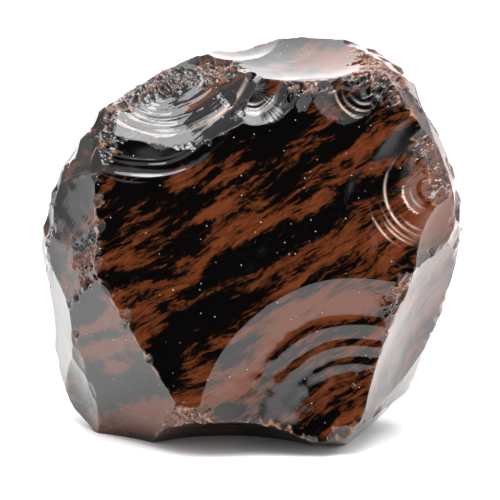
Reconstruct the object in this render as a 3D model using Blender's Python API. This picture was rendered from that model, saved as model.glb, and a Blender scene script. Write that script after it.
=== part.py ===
"""A chunk of mahogany obsidian, broken by hand on every side and flat where it rests.

The stone formed as one piece, so it is one solid. Lengths are in millimetres until the mesh is
made, which is in metres. +X is to the stone's right, +Y goes from the broad front face to the
back, +Z is up, and z = 0 is the flat it rests on.

Its form is built in three steps. Corners give a rough block, which is their convex hull. Scars
are shallow dished breaks that each start at a strike point and cut deeper than the block. Chips
are small scars strewn along the block's ridges. Seen from a point at the heart of the stone, the
surface in any direction is the nearest of all of those.
"""

import math
import random
from dataclasses import dataclass

import bmesh
import bpy
import numpy as np
from mathutils import Vector

MM = 0.001
HEART = np.array([0.0, 2.0, 48.0])
MIDDLE = np.array([0.1, 2.9, 0.0])
NEVER = 1000.0
FINENESS = 7
TRIANGLES_KEPT = 0.11

# The broad front face leans back from the upright, and passes through this point.
FACE_POINT = np.array([0.0, -20.0, 50.0])
FACE_LEAN = 13.0
FACE_BULGE = 700.0

# Chips along the ridges: one for each stretch of ridge this long.
CHIP_SPACING = 7.0
CHIP_SMALLEST = 2.0
CHIP_LARGEST = 5.0
CHIP_SEED = 7

# The flat that the stone rests on is cut by a block.
BASE_ALLOWANCE = 0.6
CUTTER_SIZE = 140.0

# Corners round the broad front face, by x and z.
FRONT_RIM = {
    "left_top": (-36.8, 72.0),
    "left_middle": (-38.9, 59.0),
    "left_bottom": (-37.8, 45.5),
    "foot_left": (-19.5, 15.0),
    "foot_notch_left": (-11.0, 12.5),
    "foot_notch_right": (-3.5, 10.5),
    "foot_middle": (19.5, 6.0),
    "foot_right": (23.0, 6.5),
    "right_bottom": (37.0, 38.0),
    "right_low": (38.8, 49.0),
    "right_middle": (41.5, 60.0),
    "right_high": (39.0, 80.5),
    "top_right": (35.0, 91.0),
    "top_middle": (31.0, 93.5),
    "top_dip": (0.0, 92.0),
    "crest_right": (-24.5, 88.0),
    "crest_left": (-33.5, 82.0),
}

# Corners on the breaks between the front face and the outline, and round the outline.
OUTLINE = {
    "toe_left": (-22.0, -20.0, 3.5),
    "toe_middle": (-12.0, -25.0, 6.5),
    "left_break_low": (-46.5, 4.0, 7.0),
    "left_break_foot": (-40.0, 0.0, 0.0),
    "left_foot": (-33.5, -11.0, -1.0),
    "left_break_high": (-47.5, -10.5, 43.0),
    "left_1": (-45.5, 10.0, 4.5),
    "left_2": (-48.5, 15.0, 11.5),
    "left_3": (-52.5, 17.0, 23.5),
    "left_4": (-54.0, 13.0, 42.5),
    "left_5": (-52.5, 8.0, 55.0),
    "left_6": (-47.5, 2.0, 67.0),
    "left_7": (-41.0, -1.0, 77.0),
    "crest_1": (-38.0, -3.0, 82.5),
    "crest_2": (-30.0, 0.0, 87.5),
    "crest_3": (-21.5, 7.0, 92.0),
    "crest_4": (-11.5, 13.0, 96.0),
    "top_1": (5.5, 19.0, 97.0),
    "top_2": (14.0, 21.0, 99.4),
    "top_3": (22.0, 21.0, 99.8),
    "top_4": (34.0, 17.0, 95.0),
    "right_1": (39.5, 10.0, 90.8),
    "right_2": (43.4, 8.0, 85.5),
    "right_3": (48.0, 8.0, 74.0),
    "right_4": (51.0, 7.0, 69.0),
    "right_5": (53.0, 6.0, 60.5),
    "right_6": (53.5, 4.0, 50.0),
    "right_7": (51.5, 0.0, 43.5),
    "right_8": (48.5, 4.0, 34.0),
    "right_9": (47.5, 10.0, 23.5),
    "right_10": (43.0, 15.0, 9.5),
    "right_11": (37.5, 14.0, 5.0),
    "right_12": (29.5, -6.0, 4.0),
    "right_break_high": (49.0, -16.8, 64.0),
    "right_break_low": (49.0, -6.0, 45.5),
    "right_break_top": (43.0, -2.0, 83.5),
}

# Corners round the flat base, by x and y.
BASE = {
    "front_left": (-34.0, -10.0),
    "left": (-38.0, 6.0),
    "back_left": (-28.0, 20.0),
    "back": (0.0, 25.0),
    "back_right": (22.0, 21.0),
    "right": (29.0, 6.0),
    "front_right": (24.0, -9.0),
}

# Corners round the back, which is plainer than the front.
BACK = {
    "low_left": (-34.0, 29.0, 30.0),
    "low_middle": (-14.0, 34.0, 24.0),
    "low_right": (18.0, 32.0, 27.0),
    "right_low": (40.0, 24.0, 38.0),
    "right_high": (36.0, 25.0, 66.0),
    "high_right": (20.0, 31.0, 80.0),
    "high_middle": (-10.0, 33.0, 77.0),
    "high_left": (-28.0, 18.0, 86.0),
    "left_high": (-32.0, 28.0, 66.0),
}


@dataclass(frozen=True)
class Ring:
    """A ripple round a scar's strike point: how far out its crest is, its height and its half width."""

    out: float
    height: float
    width: float


@dataclass(frozen=True)
class Scar:
    """A dished break. Its rim is a circle round the strike point, on a plane that faces `facing`.

    `reach` is the rim's radius and `steep` is the surface's slope at the rim, in degrees. `level`
    goes from 0, a plain bowl, to 1, a bowl with a flat floor.
    """

    name: str
    strike: np.ndarray
    facing: np.ndarray
    reach: float
    steep: float
    rings: tuple = ()
    level: float = 0.0

    def curvature(self):
        return math.sin(math.radians(self.steep)) / self.reach

    def floor(self):
        """The deepest point, which is straight behind the strike point."""
        steep = math.radians(self.steep)
        depth = self.reach * (1.0 - math.cos(steep)) / math.sin(steep)
        return self.strike - self.facing * depth


def direction(azimuth, elevation):
    """The unit vector that faces azimuth (0 is the front, 90 is +X) and elevation, in degrees."""
    azimuth = math.radians(azimuth)
    elevation = math.radians(elevation)
    level = math.cos(elevation)
    return np.array([math.sin(azimuth) * level, -math.cos(azimuth) * level, math.sin(elevation)])


FACE_NORMAL = direction(0.0, FACE_LEAN)


def on_plane(x, z):
    """The point at x and z of the plane that the broad front face leans in."""
    y = FACE_POINT[1] + (z - FACE_POINT[2]) * math.tan(math.radians(FACE_LEAN))
    return np.array([x, y, z])


def on_face(x, z):
    """The point at x and z of the broad front face, which swells and so falls away from its plane."""
    point = on_plane(x, z)
    out = point - FACE_POINT
    return point - FACE_NORMAL * float(out @ out) / (2.0 * FACE_BULGE)


def face_scar(name, x, z, reach, steep, rings=(), level=0.0):
    """A scar whose rim is a circle on the broad front face, round the point at x and z."""
    facing = FACE_NORMAL + (on_plane(x, z) - FACE_POINT) / FACE_BULGE
    facing /= np.linalg.norm(facing)
    strike = on_face(x, z) - facing * reach * reach / (2.0 * FACE_BULGE)
    return Scar(name, strike, facing, reach, steep, rings, level)


def large_scars():
    """The breaks that are named because each one shows from a step away."""
    return [
        Scar("left_low_face", np.array([-27.0, -25.2, 27.6]), direction(-48, -18), 40.0, 3),
        Scar("left_high_face", np.array([-38.4, -18.2, 58.6]), direction(-60, 7), 30.0, 5),
        Scar("left_sliver", np.array([-46.7, -2.0, 25.0]), direction(-71.5, -10), 30.0, 6),
        Scar("undercut", np.array([-5.5, -22.0, 2.0]), direction(-3, -80), 22.5, 35, (Ring(15.0, -0.3, 1.5),)),
        Scar("crest", np.array([-22.7, -4.9, 85.2]), direction(-2, 38), 14.3, 14),
        Scar("crest_top", np.array([-22.0, 2.0, 91.0]), direction(-10, 68), 12.0, 12),
        face_scar("crest_ripples", -25.6, 91.0, 25.0, 7, (Ring(20.9, 0.25, 0.9), Ring(24.0, 0.25, 0.9))),
        face_scar(
            "foot_ripples",
            26.0,
            6.5,
            38.5,
            13,
            (Ring(27.4, 0.35, 2.0), Ring(22.4, 0.30, 1.6), Ring(18.2, 0.25, 1.4)),
            1.0,
        ),
        Scar("top_nick", np.array([0.6, -7.9, 89.0]), direction(3, 20), 7.0, 24, level=0.6),
        Scar("top_right", on_face(28.0, 89.5), direction(-3, 17), 8.0, 8),
        Scar("right_bulb", on_face(44.0, 65.6), direction(8, 14), 5.6, 16),
        face_scar("right_ripples", 44.4, 65.1, 11.9, 3),
        Scar("foot_arch", on_face(-2.5, 9.0), direction(-5, -40), 5.0, 30),
        Scar("foot_left", on_face(-16.0, 10.0), direction(-22, -30), 9.0, 20),
        Scar("left_shoulder", np.array([-48.5, 0.0, 67.0]), direction(-66, 18), 11.0, 12),
        Scar("left_high", np.array([-48.5, -7.0, 47.0]), direction(-70, -6), 9.0, 12),
        Scar("left_toe", np.array([-39.9, 0.3, 7.0]), direction(-64, -14), 6.0, 6),
        Scar("left_toe_middle", np.array([-34.5, -3.4, 3.3]), direction(-32, -34), 5.5, 6),
        Scar("left_flank", np.array([-53.0, 14.0, 30.0]), direction(-86, -4), 20.0, 16),
        Scar("top_back", np.array([22.0, 24.0, 97.0]), direction(170, 62), 15.0, 18),
        Scar("top_flat", np.array([11.0, -1.0, 93.6]), direction(-4, 79), 16.0, 14),
        Scar("top_saddle", np.array([-1.5, 12.0, 96.6]), direction(-15, 80), 10.0, 22),
        Scar("crest_back", np.array([-22.0, 12.0, 92.0]), direction(-140, 50), 15.0, 20),
        Scar("right_shoulder", np.array([38.9, -4.8, 88.3]), direction(60, 28), 5.5, 12),
        Scar("right_edge", np.array([50.5, 2.0, 70.5]), direction(74, 22), 7.0, 16),
        Scar("right_edge_high", np.array([44.4, 6.0, 80.4]), direction(80, 30), 6.0, 18),
        Scar("right_rim", np.array([46.5, -10.0, 71.5]), direction(48, 24), 4.5, 16),
        Scar("right_flank", np.array([46.3, -12.6, 50.0]), direction(46, -1), 7.5, 14),
        Scar("right_foot", np.array([38.2, -12.6, 28.1]), direction(64, -16), 20.0, 11),
        Scar("right_outer", np.array([42.9, -2.8, 21.3]), direction(60, -22), 8.0, 4),
        Scar("right_heel", np.array([44.0, 14.0, 18.0]), direction(96, -14), 12.0, 20),
        Scar("back_high", np.array([4.0, 36.0, 80.0]), direction(176, 14), 34.0, 14, (Ring(26.0, 0.4, 2.2),)),
        Scar("back_low", np.array([12.0, 32.0, 18.0]), direction(172, -14), 28.0, 16, (Ring(21.0, 0.4, 2.0),)),
        Scar("back_left", np.array([-44.0, 26.0, 50.0]), direction(-138, 6), 24.0, 16, (Ring(18.0, 0.3, 1.6),)),
        Scar("back_right", np.array([46.0, 20.0, 56.0]), direction(130, 4), 22.0, 16),
    ]


def corner_points():
    """Every corner of the rough block."""
    points = [on_plane(x, z) for x, z in FRONT_RIM.values()]
    points += [np.array(place) for place in OUTLINE.values()]
    points += [np.array(place) for place in BACK.values()]
    points += [np.array([x, y, -BASE_ALLOWANCE]) for x, y in BASE.values()]
    return points


def rough_block():
    """The convex hull of the corners: its faces as (point, normal), and its ridges as end points with normals."""
    bm = bmesh.new()
    for point in corner_points():
        bm.verts.new(Vector(point))
    hull = bmesh.ops.convex_hull(bm, input=bm.verts)
    inside = {item for item in hull["geom_interior"] if isinstance(item, bmesh.types.BMVert)}
    bmesh.ops.delete(bm, geom=list(inside), context="VERTS")
    bmesh.ops.recalc_face_normals(bm, faces=bm.faces)
    faces = [(np.array(face.verts[0].co), np.array(face.normal)) for face in bm.faces]
    ridges = []
    for edge in bm.edges:
        one, other = (np.array(face.normal) for face in edge.link_faces)
        if one @ other < math.cos(math.radians(8.0)):
            ridges.append((np.array(edge.verts[0].co), np.array(edge.verts[1].co), one, other))
    bm.free()
    return faces, ridges


def ridge_chips(ridges):
    """Small scars strewn along the ridges, each facing between the two sides of its ridge."""
    dice = random.Random(CHIP_SEED)
    chips = []
    for start, end, one, other in ridges:
        length = float(np.linalg.norm(end - start))
        for _ in range(int(length / CHIP_SPACING + dice.random())):
            share = dice.random()
            side = dice.random()
            jitter = np.array([dice.gauss(0.0, 0.15) for _ in range(3)])
            facing = one * side + other * (1.0 - side) + jitter
            facing /= np.linalg.norm(facing)
            reach = dice.uniform(CHIP_SMALLEST, CHIP_LARGEST)
            steep = dice.uniform(10.0, 26.0)
            strike = start + (end - start) * share
            if strike[2] > 2.0:
                chips.append(Scar("chip", strike, facing, reach, steep))
    return chips


def plane_distance(aim, point, normal):
    """How far from the heart each aim meets the plane."""
    toward = aim @ normal
    gap = float((point - HEART) @ normal)
    return np.where(toward > 1e-3, gap / np.maximum(toward, 1e-3), NEVER)


def bowl_distance(aim, floor, facing, curvature):
    """How far from the heart each aim meets a round bowl: a paraboloid with its lowest point at floor."""
    offset = HEART - floor
    above = float(offset @ facing)
    side = offset - facing * above
    toward = aim @ facing
    across = aim - np.outer(toward, facing)
    square = -0.5 * curvature * np.einsum("ij,ij->i", across, across)
    slope = toward - curvature * (across @ side)
    start = above - 0.5 * curvature * float(side @ side)
    inner = slope * slope - 4.0 * square * start
    bottom = slope + np.sqrt(np.maximum(inner, 0.0))
    meets = (inner >= 0.0) & (bottom > 1e-3) & (start < 0.0)
    return np.where(meets, -2.0 * start / np.where(meets, bottom, 1.0), NEVER)


def scar_distance(aim, scar):
    """How far from the heart each aim meets a scar, ripples included."""
    distance = bowl_distance(aim, scar.floor(), scar.facing, scar.curvature())
    if not scar.rings and not scar.level:
        return distance
    met = distance < NEVER
    reached = HEART + aim * np.where(met, distance, 0.0)[:, None] - scar.strike
    flat = reached - np.outer(reached @ scar.facing, scar.facing)
    out = np.linalg.norm(flat, axis=1)
    inward = np.minimum(out / scar.reach, 1.0)
    fill = inward**3 / 3.0 - inward**2 / 2.0 + 1.0 / 6.0
    lift = scar.level * scar.curvature() * scar.reach**2 * fill
    lift = lift + sum(ring.height * np.exp(-(((out - ring.out) / ring.width) ** 2)) for ring in scar.rings)
    return distance + np.where(met, lift / np.maximum(aim @ scar.facing, 0.35), 0.0)


class Surface:
    """The stone's whole surface, as the nearest of its faces and scars in each direction."""

    def __init__(self):
        self.faces, ridges = rough_block()
        self.scars = large_scars() + ridge_chips(ridges)

    def distances(self, aim):
        """A row for each face and scar, and a column for each aim."""
        rows = [bowl_distance(aim, FACE_POINT, FACE_NORMAL, -1.0 / FACE_BULGE)]
        rows += [plane_distance(aim, point, normal) for point, normal in self.faces]
        rows += [scar_distance(aim, scar) for scar in self.scars]
        return np.array(rows)


def onto_ridges(aim, edges, rows):
    """Turns the aims that lie nearest to a ridge so that they point straight at it."""
    owner = rows.argmin(axis=0)
    first, second = edges[:, 0], edges[:, 1]
    crossing = owner[first] != owner[second]
    first, second = first[crossing], second[crossing]
    gap_first = rows[owner[first], first] - rows[owner[second], first]
    gap_second = rows[owner[first], second] - rows[owner[second], second]
    share = np.clip(gap_first / np.minimum(gap_first - gap_second, -1e-9), 0.0, 1.0)
    moved = aim.copy()
    best = np.full(len(aim), 0.5)
    for index in np.argsort(-np.minimum(share, 1.0 - share)):
        near, far, along = first[index], second[index], share[index]
        if along > 0.5:
            near, far, along = far, near, 1.0 - along
        if along <= best[near]:
            best[near] = along
            moved[near] = aim[near] + (aim[far] - aim[near]) * along
    return moved / np.linalg.norm(moved, axis=1)[:, None]


def stone_material():
    material = bpy.data.materials.new("mahogany_obsidian")
    material.use_nodes = True
    shader = material.node_tree.nodes["Principled BSDF"]
    shader.inputs["Base Color"].default_value = (0.085, 0.022, 0.010, 1.0)
    shader.inputs["Roughness"].default_value = 0.08
    shader.inputs["Metallic"].default_value = 0.0
    shader.inputs["IOR"].default_value = 1.5
    return material


def rest_cutter():
    """A block whose top is z = 0. It is only a guide, so it isn't rendered."""
    bm = bmesh.new()
    bmesh.ops.create_cube(bm, size=CUTTER_SIZE * MM)
    bmesh.ops.translate(bm, verts=bm.verts, vec=(0.0, 0.0, -0.5 * CUTTER_SIZE * MM))
    mesh = bpy.data.meshes.new("rest_cutter")
    bm.to_mesh(mesh)
    bm.free()
    cutter = bpy.data.objects.new("rest_cutter", mesh)
    cutter.hide_render = True
    cutter.display_type = "WIRE"
    bpy.context.scene.collection.objects.link(cutter)
    return cutter


def obsidian_chunk():
    """A ball whose vertices are moved out to the stone's surface, then thinned and cut flat below."""
    bm = bmesh.new()
    bmesh.ops.create_icosphere(bm, subdivisions=FINENESS, radius=1.0)
    bm.verts.index_update()
    aim = np.array([vert.co for vert in bm.verts], dtype=float)
    aim /= np.linalg.norm(aim, axis=1)[:, None]
    edges = np.array([(edge.verts[0].index, edge.verts[1].index) for edge in bm.edges])
    surface = Surface()
    aim = onto_ridges(aim, edges, surface.distances(aim))
    distance = surface.distances(aim).min(axis=0)
    points = (HEART + aim * distance[:, None] - MIDDLE) * MM
    for vert, point in zip(bm.verts, points):
        vert.co = Vector(point)
    mesh = bpy.data.meshes.new("obsidian_chunk")
    bm.to_mesh(mesh)
    bm.free()
    mesh.shade_smooth()
    mesh.set_sharp_from_angle(angle=math.radians(12.0))
    mesh.materials.append(stone_material())
    stone = bpy.data.objects.new("obsidian_chunk", mesh)
    bpy.context.scene.collection.objects.link(stone)
    thin = stone.modifiers.new("thin", "DECIMATE")
    thin.ratio = TRIANGLES_KEPT
    rest = stone.modifiers.new("rest", "BOOLEAN")
    rest.operation = "DIFFERENCE"
    rest.solver = "EXACT"
    rest.object = rest_cutter()
    return stone


def main():
    for existing in list(bpy.data.objects):
        bpy.data.objects.remove(existing, do_unlink=True)
    obsidian_chunk()


main()
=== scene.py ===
"""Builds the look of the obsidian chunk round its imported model.

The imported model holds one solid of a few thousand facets. A far finer stone stands for it here:
the same broken block, with the small chips, ripples, crushed ridges and flow bands that the solid
leaves out. Lengths are in millimetres until a mesh is made, which is in metres. Azimuth 0 faces
the front and 90 faces +X; elevation is above the horizon. Both are in degrees.
"""

import logging
import math
import random
from dataclasses import dataclass, field, replace
from enum import Enum

import bmesh
import bpy
import numpy as np
from mathutils import Matrix, Vector, noise

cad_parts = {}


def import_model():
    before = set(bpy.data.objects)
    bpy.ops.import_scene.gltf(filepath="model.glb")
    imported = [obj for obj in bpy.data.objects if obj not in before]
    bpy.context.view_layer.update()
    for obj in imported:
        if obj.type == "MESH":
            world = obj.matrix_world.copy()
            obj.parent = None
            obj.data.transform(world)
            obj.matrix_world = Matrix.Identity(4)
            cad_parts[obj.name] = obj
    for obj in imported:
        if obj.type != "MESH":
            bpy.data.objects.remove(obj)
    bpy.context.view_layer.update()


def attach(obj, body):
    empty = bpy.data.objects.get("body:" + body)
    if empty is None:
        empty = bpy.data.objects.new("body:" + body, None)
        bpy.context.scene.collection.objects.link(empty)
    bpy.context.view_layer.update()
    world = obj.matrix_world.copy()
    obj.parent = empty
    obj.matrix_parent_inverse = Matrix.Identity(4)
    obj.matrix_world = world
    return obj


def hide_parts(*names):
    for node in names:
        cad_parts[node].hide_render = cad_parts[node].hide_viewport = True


LOG = logging.getLogger("obsidian_chunk")
NODE = "obsidian_chunk"
MM = 0.001
NEVER = 1000.0
NARROW_RIPPLE = 0.7
STREAK_DEPTH = 30.0

Colour = tuple[float, float, float, float]
Triple = tuple[float, float, float]


def place(x: float, y: float, z: float) -> np.ndarray:
    """A point of the stone's own frame, in millimetres."""
    return np.array([x, y, z])


HEART = place(0.0, 2.0, 48.0)
MIDDLE = place(0.1, 2.9, 0.0)
FACE_POINT = place(0.0, -20.0, 50.0)
FACE_LEAN = 13.0
FACE_BULGE = 700.0
FACE_HACKLE = 0.1

FRONT_RIM = {
    "left_top": (-36.8, 72.0),
    "left_middle": (-38.9, 59.0),
    "left_bottom": (-37.8, 45.5),
    "foot_left": (-19.5, 15.0),
    "foot_notch_left": (-11.0, 12.5),
    "foot_notch_right": (-3.5, 10.5),
    "foot_middle": (19.5, 6.0),
    "foot_right": (23.0, 6.5),
    "right_bottom": (37.0, 38.0),
    "right_low": (38.8, 49.0),
    "right_middle": (41.5, 60.0),
    "right_high": (39.0, 80.5),
    "top_right": (35.0, 91.0),
    "top_middle": (31.0, 93.5),
    "top_dip": (0.0, 92.0),
    "crest_right": (-24.5, 88.0),
    "crest_left": (-33.5, 82.0),
}

OUTLINE = {
    "toe_left": (-22.0, -20.0, 3.5),
    "toe_middle": (-12.0, -25.0, 6.5),
    "left_break_low": (-46.5, 4.0, 7.0),
    "left_break_foot": (-40.0, 0.0, 0.0),
    "left_foot": (-33.5, -11.0, -1.0),
    "left_break_high": (-47.5, -10.5, 43.0),
    "left_1": (-45.5, 10.0, 4.5),
    "left_2": (-48.5, 15.0, 11.5),
    "left_3": (-52.5, 17.0, 23.5),
    "left_4": (-54.0, 13.0, 42.5),
    "left_5": (-52.5, 8.0, 55.0),
    "left_6": (-47.5, 2.0, 67.0),
    "left_7": (-41.0, -1.0, 77.0),
    "crest_1": (-38.0, -3.0, 82.5),
    "crest_2": (-30.0, 0.0, 87.5),
    "crest_3": (-21.5, 7.0, 92.0),
    "crest_4": (-11.5, 13.0, 96.0),
    "top_1": (5.5, 19.0, 97.0),
    "top_2": (14.0, 21.0, 99.4),
    "top_3": (22.0, 21.0, 99.8),
    "top_4": (34.0, 17.0, 95.0),
    "right_1": (39.5, 10.0, 90.8),
    "right_2": (43.4, 8.0, 85.5),
    "right_3": (48.0, 8.0, 74.0),
    "right_4": (51.0, 7.0, 69.0),
    "right_5": (53.0, 6.0, 60.5),
    "right_6": (53.5, 4.0, 50.0),
    "right_7": (51.5, 0.0, 43.5),
    "right_8": (48.5, 4.0, 34.0),
    "right_9": (47.5, 10.0, 23.5),
    "right_10": (43.0, 15.0, 9.5),
    "right_11": (37.5, 14.0, 5.0),
    "right_12": (29.5, -6.0, 4.0),
    "right_break_high": (49.0, -16.8, 64.0),
    "right_break_low": (49.0, -6.0, 45.5),
    "right_break_top": (43.0, -2.0, 83.5),
}

BASE = {
    "front_left": (-34.0, -10.0),
    "left": (-38.0, 6.0),
    "back_left": (-28.0, 20.0),
    "back": (0.0, 25.0),
    "back_right": (22.0, 21.0),
    "right": (29.0, 6.0),
    "front_right": (24.0, -9.0),
}

RIPPLED = (
    "foot_ripples",
    "crest_ripples",
    "crest",
    "top_nick",
    "top_right",
    "right_bulb",
    "right_ripples",
    "foot_arch",
)

BACK = {
    "low_left": (-34.0, 29.0, 30.0),
    "low_middle": (-14.0, 34.0, 24.0),
    "low_right": (18.0, 32.0, 27.0),
    "right_low": (40.0, 24.0, 38.0),
    "right_high": (36.0, 25.0, 66.0),
    "high_right": (20.0, 31.0, 80.0),
    "high_middle": (-10.0, 33.0, 77.0),
    "high_left": (-28.0, 18.0, 86.0),
    "left_high": (-32.0, 28.0, 66.0),
}


def direction(azimuth: float, elevation: float) -> np.ndarray:
    """The unit vector that faces this way.

    Args:
        azimuth: Degrees round from the front, towards +X.
        elevation: Degrees above the horizon.

    Returns:
        The vector.
    """
    turn, rise = math.radians(azimuth), math.radians(elevation)
    level = math.cos(rise)
    return place(math.sin(turn) * level, -math.cos(turn) * level, math.sin(rise))


FACE_NORMAL = direction(0.0, FACE_LEAN)


def on_plane(x: float, z: float) -> np.ndarray:
    """The point at x and z of the flat plane that the broad front face leans in."""
    y = FACE_POINT[1] + (z - FACE_POINT[2]) * math.tan(math.radians(FACE_LEAN))
    return place(x, y, z)


def on_face(x: float, z: float) -> np.ndarray:
    """The point of the slightly swollen broad front face, straight behind its plane.

    Args:
        x: Where on the plane, to the right.
        z: Where on the plane, upwards.

    Returns:
        The point.
    """
    point = on_plane(x, z)
    out = point - FACE_POINT
    return point - FACE_NORMAL * float(out @ out) / (2.0 * FACE_BULGE)


@dataclass(frozen=True)
class Flat:
    """One flat side of the rough block."""

    point: np.ndarray
    facing: np.ndarray
    name: str = "flat"
    hackle: float = 0.3

    def near(self, aim: np.ndarray) -> np.ndarray:
        """The rows of aim that can meet this side."""
        return np.nonzero(aim @ self.facing > 0.05)[0]

    def distance(self, aim: np.ndarray) -> np.ndarray:
        """How far out the side is.

        Args:
            aim: Unit directions from the heart, one in each row.

        Returns:
            The distance along each aim, or NEVER where it misses.
        """
        gap = float((self.point - HEART) @ self.facing)
        toward = aim @ self.facing
        return np.where(toward > 1e-3, gap / np.maximum(toward, 1e-3), NEVER)

    def local(self, points: np.ndarray) -> np.ndarray:
        """Each point as (way across the side, way up it), for the fine lines."""
        across = points - self.point
        return np.stack([across[:, 0] + across[:, 1], across[:, 2]], axis=1)


@dataclass(frozen=True)
class Ring:
    """A ripple round a strike point: how far out its crest is, its height and its half width.

    toward is the side on which it stands highest, in degrees anticlockwise from the right, and
    spread is how many degrees to either side it dies down over, where 0 is nowhere. The last value
    is how pale its crest is painted: a painted highlight that stands in for the glint of the
    ripple's ridge, and that also counts among the pale ridge colours.
    """

    out: float
    height: float
    width: float
    toward: float = 0.0
    spread: float = 0.0
    bruise_and_glint: float = 0.0

    def share(self, out: np.ndarray, turn: np.ndarray) -> np.ndarray:
        """How much of the ripple's height stands at each place.

        Args:
            out: How far each place is from the ripples' centre.
            turn: The angle of each place round that centre, in radians.

        Returns:
            The share of each place, from 0 to 1.
        """
        crest = np.exp(-(((out - self.out) / self.width) ** 2))
        if self.spread:
            gap = np.degrees(turn) - self.toward
            gap = (gap + 180.0) % 360.0 - 180.0
            crest = crest * np.exp(-((gap / self.spread) ** 2))
        return crest


@dataclass(frozen=True)
class Scar:
    """A dished break whose rim is a circle round the strike point.

    reach is the rim's radius, steep is the surface's slope there in degrees, and a negative steep
    makes a bulge. calm is the way in which the ripples die down, and level, from 0 to 1, makes the
    floor flatter than a plain bowl's. uneven is how far the floor wavers, as a share of reach.
    burst is where the break began, if not at the strike point, and hackle is how deep the fine
    lines that run out from there are cut. hub is how far the ripples' centre is moved in the rim.
    """

    name: str
    strike: np.ndarray
    facing: np.ndarray
    reach: float
    steep: float
    rings: tuple[Ring, ...] = ()
    whole: bool = True
    calm: Triple = (0.0, 0.0, 0.0)
    level: float = 0.0
    uneven: float = 0.003
    burst: Triple | None = None
    hackle: float = 0.4
    hub: tuple[float, float] = (0.0, 0.0)

    @property
    def axes(self) -> tuple[np.ndarray, np.ndarray]:
        """Two directions that lie in the scar's rim, square to each other.

        Returns:
            The one that runs to the right, and the one that runs upwards.
        """
        side = np.cross([0.0, 0.0, 1.0], self.facing)
        side /= np.linalg.norm(side)
        return side, np.cross(self.facing, side)

    @property
    def phase(self) -> float:
        """An angle of the scar's own, so that no two scars ripple alike."""
        return float(sum(map(ord, self.name))) % 6.28

    @property
    def curvature(self) -> float:
        """One over the radius of the bowl at its floor."""
        return math.sin(math.radians(self.steep)) / self.reach

    @property
    def floor(self) -> np.ndarray:
        """The bowl's deepest point, straight behind the strike point."""
        return self.strike - self.facing * self.reach * math.tan(math.radians(self.steep) / 2.0)

    def near(self, aim: np.ndarray) -> np.ndarray:
        """Picks the directions that can meet this scar.

        Args:
            aim: Unit directions from the heart, one in each row.

        Returns:
            The numbers of those rows.
        """
        if self.whole:
            return np.nonzero(aim @ self.facing > 0.02)[0]
        toward = self.strike - HEART
        length = float(np.linalg.norm(toward))
        return np.nonzero(aim @ (toward / length) > math.cos(1.5 * self.reach / length))[0]

    def distance(self, aim: np.ndarray) -> np.ndarray:
        """How far out the scar is, ripples included.

        Args:
            aim: Unit directions from the heart, one in each row.

        Returns:
            The distance along each aim, or NEVER where it misses.
        """
        bend = self.curvature
        offset = HEART - self.floor
        above = float(offset @ self.facing)
        side = offset - self.facing * above
        toward = aim @ self.facing
        across = aim - np.outer(toward, self.facing)
        square = -0.5 * bend * np.einsum("ij,ij->i", across, across)
        slope = toward - bend * (across @ side)
        level = above - 0.5 * bend * float(side @ side)
        reached = self.root(square, slope, level)
        if self.uneven:
            for _ in range(3 if self.whole else 2):
                lift = self.relief(side + across * reached[:, None])
                reached = self.root(square, slope, level - lift)
        return reached

    @staticmethod
    def root(square: np.ndarray, slope: np.ndarray, level: np.ndarray | float) -> np.ndarray:
        """Where square t^2 + slope t + level first turns positive.

        Args:
            square: The factor of the square, one for each aim.
            slope: The factor of t.
            level: The value at t = 0.

        Returns:
            That t for each aim, or NEVER.
        """
        inner = slope * slope - 4.0 * square * level
        bottom = slope + np.sqrt(np.maximum(inner, 0.0))
        meets = (inner >= 0.0) & (bottom > 1e-3) & (level < 0.0)
        return np.where(meets, -2.0 * level / np.where(meets, bottom, 1.0), NEVER)

    def relief(self, across: np.ndarray) -> np.ndarray:
        """How high the ripples and the unevenness stand.

        Args:
            across: Offsets from the middle of the rim, one in each row.

        Returns:
            The height above a plain bowl at each offset.
        """
        side, rise = self.axes
        start = self.phase
        one, other = across @ side / self.reach, across @ rise / self.reach
        waves = np.sin(4.1 * one + 2.3 * other + start)
        waves = waves + np.sin(4.7 * other - 3.1 * one + 2.1 * start)
        waves = waves + 0.5 * np.sin(8.3 * one - 6.1 * other + 3.7 * start)
        lift = self.uneven * self.reach * waves
        if not self.rings:
            return lift
        inward = np.minimum(np.linalg.norm(across, axis=1) / self.reach, 1.0)
        aside, above = across @ side - self.hub[0], across @ rise - self.hub[1]
        out, turn = np.hypot(aside, above), np.arctan2(above, aside)
        wobble = 1.0 + 0.014 * np.sin(3.0 * turn + start)
        out = out * (wobble + 0.010 * np.sin(7.0 * turn + 2.0 * start))
        ripples = sum(ring.height * ring.share(out, turn) for ring in self.rings)
        share = np.clip((across @ np.array(self.calm)) / self.reach * 1.6 - 0.25, 0.0, 1.0)
        fill = inward**3 / 3.0 - inward**2 / 2.0 + 1.0 / 6.0
        fill = fill * self.level * math.sin(math.radians(self.steep)) * self.reach
        return lift + ripples * (1.0 - share) + fill * (1.0 - 0.6 * share)

    def marks(self, points: np.ndarray) -> tuple[np.ndarray, np.ndarray]:
        """Finds the narrow ripples.

        Args:
            points: Places on the scar.

        Returns:
            How close each is to a narrow ripple's crest, and how strongly a pale painted highlight
            lies there.
        """
        across = points - self.strike
        side, rise = self.axes
        one, other = across @ side - self.hub[0], across @ rise - self.hub[1]
        out, turn = np.hypot(one, other), np.arctan2(other, one)
        close = np.zeros(len(points))
        pale = np.zeros(len(points))
        for ring in self.rings:
            share = ring.share(out, turn)
            # Pale crest marks are painted highlights for the glints of the ripples.
            pale = np.maximum(pale, ring.bruise_and_glint * share)
            if ring.width < NARROW_RIPPLE:
                wide = replace(ring, width=ring.width + 1.2)
                close = np.maximum(close, wide.share(out, turn))
        return close, pale

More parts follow.
